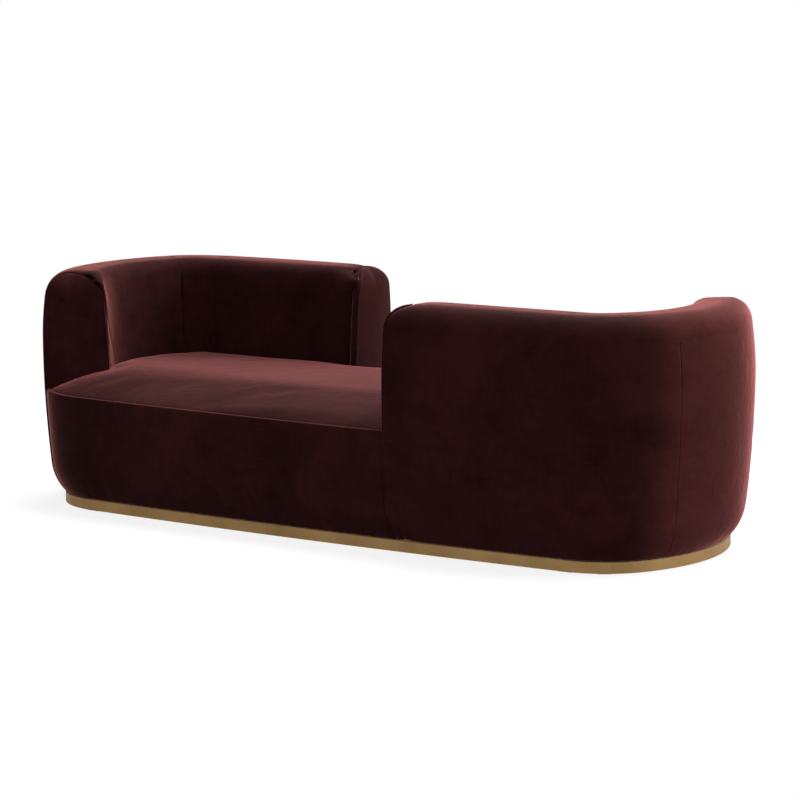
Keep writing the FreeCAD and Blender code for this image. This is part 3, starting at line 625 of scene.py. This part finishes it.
def sewn_panel(name, run, path, edges, seed, beside=(0, 0), gather=0, puckers=()):
    """One upholstered panel: a grid on the run and path, blown up, turned in and stitched.

    edges are the seams at the start, end, low and high edge. beside says whether the start and the
    end lie beside a wing's facing, where the panel stops short of it and is gathered. puckers are
    lengths along the path where the seams at both ends draw the cloth in.
    """
    grid = Grid(run, path, beside)
    to_edge = np.minimum.reduce(grid.distances)
    waves = smooth_noise(grid.u, grid.v, seed, WAVE_LENGTH) * np.clip(to_edge / WAVE_BLEND, 0, 1)
    start = grid.points + grid.normals * (WAVES * waves - START_BELOW)[:, :, None]
    faces = grid_faces(*to_edge.shape)
    pinned = (to_edge < PINNED).reshape(-1)
    blown = inflate(start.reshape(-1, 3), faces, pinned, SWELL).reshape(start.shape)
    within = inner_share(grid.spots)[None, :]
    clear = within if path.over_crown else eased(np.clip(grid.distances[3] / FLAT_BLEND, 0, 1))
    plump = FLAT_SHARE + (1 - FLAT_SHARE) * clear
    lift = np.zeros(to_edge.shape)
    shares = [seam_share(path, grid.spots, near)[None, :] for near in beside] + [1, 1]
    for distance, share, (depth, width) in zip(grid.distances, shares, edges):
        lift -= roll_in(distance, depth * share, width)
        lift -= stitch(distance, STITCH_SHARE * depth * share)
    for distance, near in zip(grid.distances, beside):
        if near:
            lift -= roll_in(distance, lip_pull(grid.away)[None, :], LIP_BLEND)
        if near and gather:
            lift += gathers(distance, grid.v, gather, seed) * within
    for length in puckers:
        for distance in grid.distances[:2]:
            lift += pucker(distance, grid.v - length)
    soft = start + (blown - start) * plump[:, :, None] + grid.normals * lift[:, :, None]
    piece = slab(name, soft, grid.points - grid.normals * PANEL_THICK)
    keep_sharp(piece, flush_lines(grid, path, edges, beside))
    return subdivide(piece)


def flush_lines(grid, path, edges, beside):
    """Rows of points along the edges where two panels have to look like one."""
    number = np.arange(grid.u.size).reshape(grid.u.shape)
    lines = [number[:, row] for row, edge in ((0, edges[2]), (-1, edges[3])) if edge == FLUSH]
    if path.over_crown:
        outside = np.count_nonzero(grid.spots[:, 0] > INNER_FROM)
        lines += [number[column, :outside] for column, near in zip((0, -1), beside) if not near]
    return lines


def keep_sharp(piece, lines):
    """Keep the edges along the given rows of points square."""
    wanted = {tuple(sorted(pair)) for line in lines for pair in zip(line[:-1], line[1:])}
    if not wanted:
        return
    mesh = piece.data
    crease = mesh.attributes.new("crease_edge", "FLOAT", "EDGE")
    sharp = mesh.attributes.new("sharp_edge", "BOOLEAN", "EDGE")
    for edge in mesh.edges:
        if tuple(sorted(edge.vertices)) in wanted:
            crease.data[edge.index].value = 1.0
            sharp.data[edge.index].value = True


# Facings: the D-shaped ends of the wings

def around(sector, turn, sign, ring, depth):
    """Points of a section (offset, height) set at a depth behind a facing's plane."""
    measured_at = sector.radius + 0.02
    here = math.radians(turn) + sign * depth / measured_at
    x = sector.centre[0] + (sector.radius + ring[:, 0]) * np.cos(here)
    y = sector.centre[1] + (sector.radius + ring[:, 0]) * np.sin(here)
    return np.stack([x, y, ring[:, 1]], 1)


def side_rings(outline, normal, back):
    """Rings round a facing's side, from the wing to its front edge, each with its depths."""
    above = np.clip((outline[:, 1] - BURIED_TOP) / BURIED_BLEND, 0, 1)
    within = inner_share(outline) * above
    lap = 0.0005
    blend = 0.002
    middle_depths = (0.030, 0.022, 0.015, 0.009)
    rings = []
    for depth in (FACING_DEPTH, *middle_depths, FACING_EDGE):
        under = np.clip((back + depth - end_short(outline) + lap) / blend, 0, 1) * (1 - within)
        waist = within * ((depth - FACING_EDGE) / (FACING_DEPTH - FACING_EDGE)) ** WAIST_CURVE
        pull = PAD_SKIN * under + WAIST * waist
        rings.append((outline - normal * pull[:, None], back + depth))
    return rings


def edge_rings(outline, normal, back):
    """Rings over a facing's rounded front edge."""
    rings = []
    for angle in (math.radians(30), math.radians(60)):
        pull = FACING_EDGE * (1 - math.cos(angle))
        rings.append((outline - normal * pull, back + FACING_EDGE * (1 - math.sin(angle))))
    return rings


def face_rings(flat, outline, back):
    """Rings over a facing's domed face, which closes on its middle line."""
    heights = np.clip(outline[:, 1], HEM + FACE_FOOT_RISE, FACING_Z)
    wall = np.interp(heights, *zip(*FACE_WALL))
    inside = np.interp(heights, *zip(*FACE_INSIDE))
    middle = np.stack([(wall + inside) / 2, heights], 1)
    shares = (0.0, 0.02, 0.05, 0.10, 0.18, 0.3, 0.5, 0.75, 1.0)
    rings = []
    for share in shares:
        dome = FACING_DOME * (1 - (1 - share) ** 2)
        level = back * (1 - math.sqrt(1 - (1 - share) ** 2)) - dome
        rings.append((flat + (middle - flat) * share, level))
    return rings


def make_facing(name, sector, turn, sign):
    """A facing and its welt.

    sign is 1 where the wing runs on anticlockwise from the facing and -1 where it ends there.
    """
    path = Path(facing_path())
    rim, away = path.at(spaced(path.length, FACING_STEP))
    outline = np.concatenate([rim, BURIED_SIDE])
    normal = np.concatenate([away, np.tile([[-1.0, 0.0]], (len(BURIED_SIDE), 1))])
    back = end_round(outline[:, 1])
    flat = outline - normal * FACING_EDGE
    rings = side_rings(outline, normal, back) + edge_rings(outline, normal, back)
    rings += face_rings(flat, outline, back)
    points = [around(sector, turn, sign, ring, depth) for ring, depth in rings]
    faces = ring_faces(len(rings), len(outline), flip=sign < 0)
    cap = tuple(range(len(outline)))
    faces.append(cap[::-1] if sign > 0 else cap)
    piece = subdivide(new_object(name, np.concatenate(points), faces))
    seen = slice(len(rim))
    edge = around(sector, turn, sign, (flat + normal * WELT_OUT)[seen], (back + WELT_BACK)[seen])
    return piece, tube(name + "_welt", edge, WELT)


# Materials

def add(nodes, kind, **values):
    """A node with its values set: input sockets by name, and settings otherwise."""
    node = nodes.new(kind)
    for key, value in values.items():
        if key in node.inputs:
            node.inputs[key].default_value = value
        else:
            setattr(node, key, value)
    return node


class Look:
    """A material in the making. What its methods return are sockets."""

    def __init__(self, name):
        self.material = bpy.data.materials.new(name)
        self.material.use_nodes = True
        self.nodes = self.material.node_tree.nodes
        self.links = self.material.node_tree.links
        self.shader = self.nodes["Principled BSDF"]
        self.place = add(self.nodes, "ShaderNodeTexCoord").outputs["Object"]

    def noise(self, stretch=None, **values):
        place = self.place
        if stretch:
            mapping = add(self.nodes, "ShaderNodeMapping", Scale=stretch)
            self.links.new(place, mapping.inputs["Vector"])
            place = mapping.outputs["Vector"]
        texture = add(self.nodes, "ShaderNodeTexNoise", **values)
        self.links.new(place, texture.inputs["Vector"])
        return texture.outputs["Fac"]

    def mapped(self, value, start=(0, 1), result=(0, 1), kind="LINEAR"):
        """A value carried from one range over to another."""
        node = add(self.nodes, "ShaderNodeMapRange", interpolation_type=kind)
        for name, amount in zip(("From Min", "From Max", "To Min", "To Max"), start + result):
            node.inputs[name].default_value = amount
        self.links.new(value, node.inputs["Value"])
        return node.outputs["Result"]

    def weighted(self, value, weight, base):
        """base plus a share of value."""
        total = add(self.nodes, "ShaderNodeMath", operation="MULTIPLY_ADD")
        total.inputs[1].default_value = weight
        self.links.new(value, total.inputs[0])
        self.links.new(base, total.inputs[2])
        return total.outputs["Value"]

    def tones(self, value, dark, light, low=0.0, high=1.0):
        """Two colours, blended between a low and a high value."""
        ramp = add(self.nodes, "ShaderNodeValToRGB")
        for element, place, colour in zip(ramp.color_ramp.elements, (low, high), (dark, light)):
            element.position = place
            element.color = colour + (1,)
        self.links.new(value, ramp.inputs["Fac"])
        return ramp.outputs["Color"]

    def bump(self, height, strength, distance, over=None):
        node = add(self.nodes, "ShaderNodeBump", Strength=strength, Distance=distance)
        self.links.new(height, node.inputs["Height"])
        if over:
            self.links.new(over, node.inputs["Normal"])
        return node.outputs["Normal"]

    def feed(self, **sockets):
        """Link sockets to the shader's inputs, named with underscores for spaces."""
        for name, socket in sockets.items():
            self.links.new(socket, self.shader.inputs[name.replace("_", " ")])


def painted_light_share(look):
    """1 round the right end, where the velvet is painted lighter as painted light from the right side, 0
    elsewhere.
    """
    split = add(look.nodes, "ShaderNodeSeparateXYZ")
    look.links.new(look.place, split.inputs["Vector"])
    both = add(look.nodes, "ShaderNodeMath", operation="MULTIPLY")
    for number, (axis, band) in enumerate((("X", PAINTED_LIGHT_X), ("Y", PAINTED_LIGHT_Y))):
        share = look.mapped(split.outputs[axis], start=band, kind="SMOOTHSTEP")
        look.links.new(share, both.inputs[number])
    return both.outputs["Value"]


def velvet():
    """Short-pile burgundy velvet: dark along the pile, bright across it, with brushed patches, and a
    lighter copy of its colours painted round the right end as painted light.
    """
    look = Look("burgundy_velvet")
    patches = look.noise(Scale=3.2, Detail=5.0, Roughness=0.55, Distortion=0.6)
    brushed = look.noise(Scale=17.0, Detail=3.0, Roughness=0.55, Distortion=0.8)
    fine = look.noise(Scale=70.0, Detail=4.0, Roughness=0.6)
    pile = look.noise(Scale=900.0, Detail=2.0, Roughness=0.7)
    brushed_share = 0.45
    streak_share = 0.30
    contrast = {"low": 0.40, "high": 0.60}
    tone = look.weighted(brushed, brushed_share, patches)
    for stretch in ((1.0, 1.0, 0.06), (0.06, 0.06, 1.0)):
        streaks = look.noise(stretch, Scale=170.0, Detail=3.0, Roughness=0.7)
        tone = look.weighted(streaks, streak_share, tone)
    total_share = 1 + brushed_share + 2 * streak_share
    tone = look.mapped(tone, start=(0, total_share))
    # Painted light: the lighter copy of the velvet's colours is mixed in round the right end
    painted_light_mix = add(look.nodes, "ShaderNodeMixRGB")
    look.links.new(painted_light_share(look), painted_light_mix.inputs["Fac"])
    look.links.new(look.tones(tone, *LAID_NAP, **contrast), painted_light_mix.inputs["Color1"])
    look.links.new(look.tones(tone, *PAINTED_LIGHT_TONES, **contrast), painted_light_mix.inputs["Color2"])
    soft = look.bump(brushed, strength=0.5, distance=0.0035)
    relief = look.weighted(fine, 0.8, pile)
    grain = look.bump(relief, strength=0.4, distance=0.0006, over=soft)
    look.feed(Base_Color=painted_light_mix.outputs["Color"], Normal=grain)
    look.shader.inputs["Roughness"].default_value = 0.9
    look.shader.inputs["Specular IOR Level"].default_value = 0.04
    look.shader.inputs["Sheen Weight"].default_value = 1.0
    look.shader.inputs["Sheen Roughness"].default_value = 0.25
    look.shader.inputs["Sheen Tint"].default_value = SHEEN
    return look.material


def brass():
    """Brushed, lightly aged brass sheet, with the brushing along the band."""
    look = Look("brushed_brass")
    brush = look.noise((1.0, 1.0, 60.0), Scale=14.0, Detail=6.0, Roughness=0.65)
    age = look.noise(Scale=5.0, Detail=4.0, Roughness=0.6)
    aged = (0.30, 0.175, 0.068)
    clean = (0.45, 0.285, 0.125)
    colour = look.tones(age, aged, clean, low=0.3, high=0.75)
    rough = look.mapped(brush, result=(0.42, 0.62))
    scratches = look.bump(brush, strength=0.12, distance=0.0003)
    look.feed(Base_Color=colour, Roughness=rough, Normal=scratches)
    look.shader.inputs["Metallic"].default_value = 1.0
    return look.material


def grained(name, low, high, scale, roughness, stretch=(1, 1, 1)):
    """A plain material for the pieces inside: two tones over a grain."""
    look = Look(name)
    grain = look.noise(stretch, Scale=scale, Detail=5.0, Roughness=0.6)
    relief = look.bump(grain, strength=0.3, distance=0.0005)
    look.feed(Base_Color=look.tones(grain, low, high), Normal=relief)
    look.shader.inputs["Roughness"].default_value = roughness
    return look.material


def inside_materials():
    return {
        "plywood": grained("birch_plywood", (0.36, 0.24, 0.12), (0.52, 0.37, 0.21), 9, 0.7, (1, 1, 9)),
        "liner": grained("hardboard", (0.14, 0.08, 0.04), (0.22, 0.13, 0.07), 60, 0.8),
        "webbing": grained("webbing", (0.012, 0.011, 0.010), (0.04, 0.036, 0.03), 240, 0.9, (1, 8, 1)),
        "felt": grained("felt", (0.20, 0.19, 0.17), (0.32, 0.30, 0.27), 160, 0.95),
        "dust_cloth": grained("dust_cloth", (0.004, 0.004, 0.004), (0.012, 0.012, 0.012), 300, 0.9),
        "floor_pad": grained("floor_felt", (0.010, 0.009, 0.009), (0.03, 0.028, 0.027), 200, 0.95),
        "steel": grained("zinc_steel", (0.30, 0.30, 0.31), (0.48, 0.48, 0.50), 40, 0.4),
    }


def dress(piece, material):
    piece.data.materials.clear()
    piece.data.materials.append(material)


VELVET = velvet()
BRASS = brass()
INSIDE = inside_materials()


def trim(piece):
    dress(piece, VELVET)
    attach(piece, "root")


def upholster(piece, *nodes, fill=0.85):
    trim(piece)
    if nodes:
        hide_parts(*nodes)


# Wings

def wing_panels():
    """The right wing's panels.

    Each has a name, its run and path, its seams, the nodes that it stands for and whether its start
    and its end lie beside a facing.
    """
    outer = Path(outer_path())
    inner = Path(inner_path())
    back_part = front_side.cut(start=WING_FROM)
    last_part = back_right.cut(end=WING_TO)
    first = Run([back_part, front_right, right_end.cut(end=OUTER_SEAM_TURN)])
    second = Run([right_end.cut(start=OUTER_SEAM_TURN), last_part])
    back = Run([back_part])
    corner = Run([front_right])
    end = Run([right_end, last_part])
    return [
        ("outer_side", first, outer, (FIRM, LIGHT, FIRM, FLUSH), ("outer_cover", "outer_pad"), (1, 0)),
        ("outer_end", second, outer, (LIGHT, FIRM, FIRM, FLUSH), (), (0, 1)),
        ("inner_back", back, inner, (DEEP, LIGHT, FLUSH, LIGHT), ("inner_cover", "back_pad"), (1, 0)),
        ("inner_corner", corner, inner, (LIGHT, FAINT, FLUSH, LIGHT), ("corner_pad", "top_roll"), (0, 0)),
        ("inner_end", end, inner, (FAINT, DEEP, FLUSH, LIGHT), ("end_pad",), (0, 1)),
    ]


def pair_up(right, left_name, nodes=()):
    """Dress a piece of the right wing and make its twin on the left."""
    left = half_turned(right, left_name)
    upholster(right, *["right_wing_" + node for node in nodes])
    upholster(left, *["left_wing_" + node for node in nodes])


def make_wings():
    """The right wing's panels, facings and welts, and their twins on the left."""
    for seed, (name, run, path, edges, nodes, beside) in enumerate(wing_panels()):
        inside = name.startswith("inner")
        gather = GATHER if inside else 0
        puckers = () if inside else (*PUCKERS, path.length - TOP_PUCKER)
        right = sewn_panel("right_" + name, run, path, edges, seed, beside, gather, puckers)
        pair_up(right, "left_" + name, nodes)
    ends = (("start", front_side, WING_FROM, 1), ("end", back_right, WING_TO, -1))
    for place, sector, turn, sign in ends:
        right, welt = make_facing("right_%s_facing" % place, sector, turn, sign)
        nodes = ["%s_facing_%s" % (place, kind) for kind in ("pad", "cover")]
        pair_up(right, "left_%s_facing" % place, nodes)
        trim(half_turned(welt, "left_%s_facing_welt" % place))
        trim(welt)


# Seat and borders

def make_borders():
    """The border along the front, between the wings, and its twin at the back."""
    run = Run([front_left.cut(start=WING_TO - 180), front_side.cut(end=WING_FROM)])
    edges = (TUCKED, TUCKED, FIRM, WIDE)
    front = sewn_panel("front_border", run, Path(border_path()), edges, seed=21)
    back = half_turned(front, "back_border")
    upholster(front, "front_border_pad", "front_border_cover")
    upholster(back, "back_border_pad", "back_border_cover")


def make_seat():
    """The seat's foam block, remeshed evenly, given faint waves and blown up into its cover."""
    source = frame["nodes"]["seat_foam"]
    block = bpy.data.objects.new("seat_cushion", source.data.copy())
    bpy.context.scene.collection.objects.link(block)
    remesh = block.modifiers.new("remesh", "REMESH")
    remesh.mode = "VOXEL"
    remesh.voxel_size = SEAT_GRAIN
    apply_modifier(block, remesh)
    points = coordinates(block.data)
    faces = [tuple(face.vertices) for face in block.data.polygons]
    bpy.data.objects.remove(block)
    waves = SEAT_WAVES * smooth_noise(points[:, 0], points[:, 1], 31, SEAT_WAVE_LENGTH)
    points[:, 2] += np.where(points[:, 2] > SEAM - SEAT_WAVES_BELOW, waves, 0)
    held = points[:, 2] < SEAM - SEAT_HELD_BELOW
    soft = inflate(points, faces, held, SEAT_SWELL, SEAT_STIFFNESS, SEAT_SLACK)
    seat = new_object("seat_cushion", soft, faces)
    smooth = seat.modifiers.new("smooth", "SMOOTH")
    smooth.factor = 0.5
    smooth.iterations = 10
    apply_modifier(seat, smooth)
    upholster(subdivide(seat), "seat_foam", "seat_cover", fill=0.9)


# Plinth

def band_path():
    """The band's section: its face with softened edges, and a return under the core."""
    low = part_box("plinth_band_front")[0].z
    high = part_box("plinth_band_front")[1].z
    return [
        (-BAND_SHEET, high - BAND_CLEAR),
        (-BAND_EDGE, high - BAND_CLEAR),
        (0, high - BAND_EDGE),
        (0, low + BAND_EDGE),
        (-BAND_EDGE, low),
        (-BAND_RETURN, low),
        (-BAND_RETURN, low + BAND_SHEET),
        (-BAND_SHEET, low + BAND_SHEET),
    ]


def swept_loop(name, run, section, gap):
    """A closed section carried along a run, with flat ends."""
    along = np.linspace(gap, run.length - gap, max(3, int(run.length / BAND_STEP)))
    centre, radius, out = run.frames(along)
    section = np.array(section)
    count = len(section)
    points = np.zeros((len(along), count, 3))
    reach = radius[:, None] + section[None, :, 0]
    points[:, :, :2] = centre[:, None, :] + reach[:, :, None] * out[:, None, :]
    points[:, :, 2] = section[None, :, 1]
    faces = ring_faces(len(along), count, flip=True)
    last = (len(along) - 1) * count
    faces.append(tuple(range(count)))
    faces.append(tuple(last + k for k in reversed(range(count))))
    return new_object(name, points.reshape(-1, 3), faces, smooth=False)


def make_bands():
    """The sheet-metal band in its six lengths, with a hairline joint between them."""
    long_turn = math.degrees(math.asin(LONG_JOINT / SIDE_ARC))
    short_turn = math.degrees(math.asin(SHORT_JOINT / SIDE_ARC))
    corner = 360 - CORNER_JOINT
    last = back_side.cut(end=450 - long_turn)
    lengths = {
        "front": [front_side.cut(270 - long_turn, 270 + short_turn)],
        "front_right": [front_side.cut(start=270 + short_turn), front_right.cut(end=corner)],
        "right_end": [front_right.cut(start=corner), right_end, back_right, last],
    }
    opposite = {"front": "back", "front_right": "back_left", "right_end": "left_end"}
    for place, sectors in lengths.items():
        band = swept_loop("brass_" + place, Run(sectors, 0.0), band_path(), JOINT_GAP)
        twin = half_turned(band, "brass_" + opposite[place])
        for piece, node in ((band, place), (twin, opposite[place])):
            dress(piece, BRASS)
            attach(piece, "root")
            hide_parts("plinth_band_" + node)


def dress_frame():
    """The pieces inside keep their shapes and get the materials that the record names."""
    slots = {row["node"]: row["material_slot"] for row in frame["record"]["subparts"]}
    for name, node in frame["nodes"].items():
        if slots.get(name) in INSIDE:
            dress(node, INSIDE[slots[name]])


# Stage

def make_camera():
    data = bpy.data.cameras.new("camera")
    data.lens = LENS
    data.sensor_width = SENSOR
    camera = bpy.data.objects.new("camera", data)
    camera.location = CAMERA_AT
    camera.rotation_euler = CAMERA_AIM.to_track_quat("-Z", "Y").to_euler()
    bpy.context.scene.collection.objects.link(camera)
    bpy.context.scene.camera = camera


def make_floor():
    """A pale floor that turns to plain white away from the piece."""
    far = FLOOR_SIZE
    corners = [(-far, -far, 0), (far, -far, 0), (far, far, 0), (-far, far, 0)]
    floor = new_object("floor", corners, [(0, 1, 2, 3)])
    look = Look("pale_floor")
    look.shader.inputs["Base Color"].default_value = (0.92, 0.92, 0.92, 1)
    look.shader.inputs["Roughness"].default_value = 0.9
    look.shader.inputs["Specular IOR Level"].default_value = 0.1
    distance = add(look.nodes, "ShaderNodeVectorMath", operation="LENGTH")
    look.links.new(look.place, distance.inputs[0])
    fade = look.mapped(distance.outputs["Value"], FLOOR_WHITE, FLOOR_FADE, "SMOOTHSTEP")
    paths = add(look.nodes, "ShaderNodeLightPath")
    white = add(look.nodes, "ShaderNodeEmission")
    glow = look.mapped(paths.outputs["Is Camera Ray"], result=FLOOR_BOUNCE)
    look.links.new(glow, white.inputs["Strength"])
    mix = add(look.nodes, "ShaderNodeMixShader")
    look.links.new(fade, mix.inputs["Fac"])
    look.links.new(look.shader.outputs["BSDF"], mix.inputs[1])
    look.links.new(white.outputs["Emission"], mix.inputs[2])
    look.links.new(mix.outputs["Shader"], look.nodes["Material Output"].inputs["Surface"])
    dress(floor, look.material)


def make_world():
    """A white background for the camera, and a softer white room for the light."""
    world = bpy.data.worlds.new("studio")
    bpy.context.scene.world = world
    world.use_nodes = True
    nodes = world.node_tree.nodes
    links = world.node_tree.links
    seen = nodes["Background"]
    seen.inputs["Color"].default_value = (1, 1, 1, 1)
    seen.inputs["Strength"].default_value = 1.0
    room = add(nodes, "ShaderNodeBackground", Color=(1, 1, 1, 1), Strength=ROOM_LIGHT)
    paths = add(nodes, "ShaderNodeLightPath")
    mix = add(nodes, "ShaderNodeMixShader")
    links.new(paths.outputs["Is Camera Ray"], mix.inputs["Fac"])
    links.new(room.outputs["Background"], mix.inputs[1])
    links.new(seen.outputs["Background"], mix.inputs[2])
    links.new(mix.outputs["Shader"], nodes["World Output"].inputs["Surface"])


def area_light(name, place, aim, width, depth, power):
    data = bpy.data.lights.new(name, "AREA")
    data.shape = "RECTANGLE"
    data.size = width
    data.size_y = depth
    data.energy = power
    lamp = bpy.data.objects.new(name, data)
    lamp.location = place
    lamp.rotation_euler = (Vector(aim) - Vector(place)).to_track_quat("-Z", "Y").to_euler()
    bpy.context.scene.collection.objects.link(lamp)


def make_lights():
    area_light("overhead", (0.2, 1.7, 4.2), aim=(0, 0, 0.3), width=4.5, depth=4.0, power=560)
    area_light("right_side", (4.6, 2.2, 2.4), aim=(0.8, 0, 0.4), width=2.5, depth=2.5, power=200)
    area_light("front_fill", (2.0, -5.5, 4.0), aim=(0, 0, 0.4), width=4.0, depth=2.5, power=130)


bpy.context.scene.view_settings.view_transform = "Standard"
make_camera()
make_floor()
make_world()
make_lights()
make_wings()
make_borders()
make_seat()
make_bands()
dress_frame()
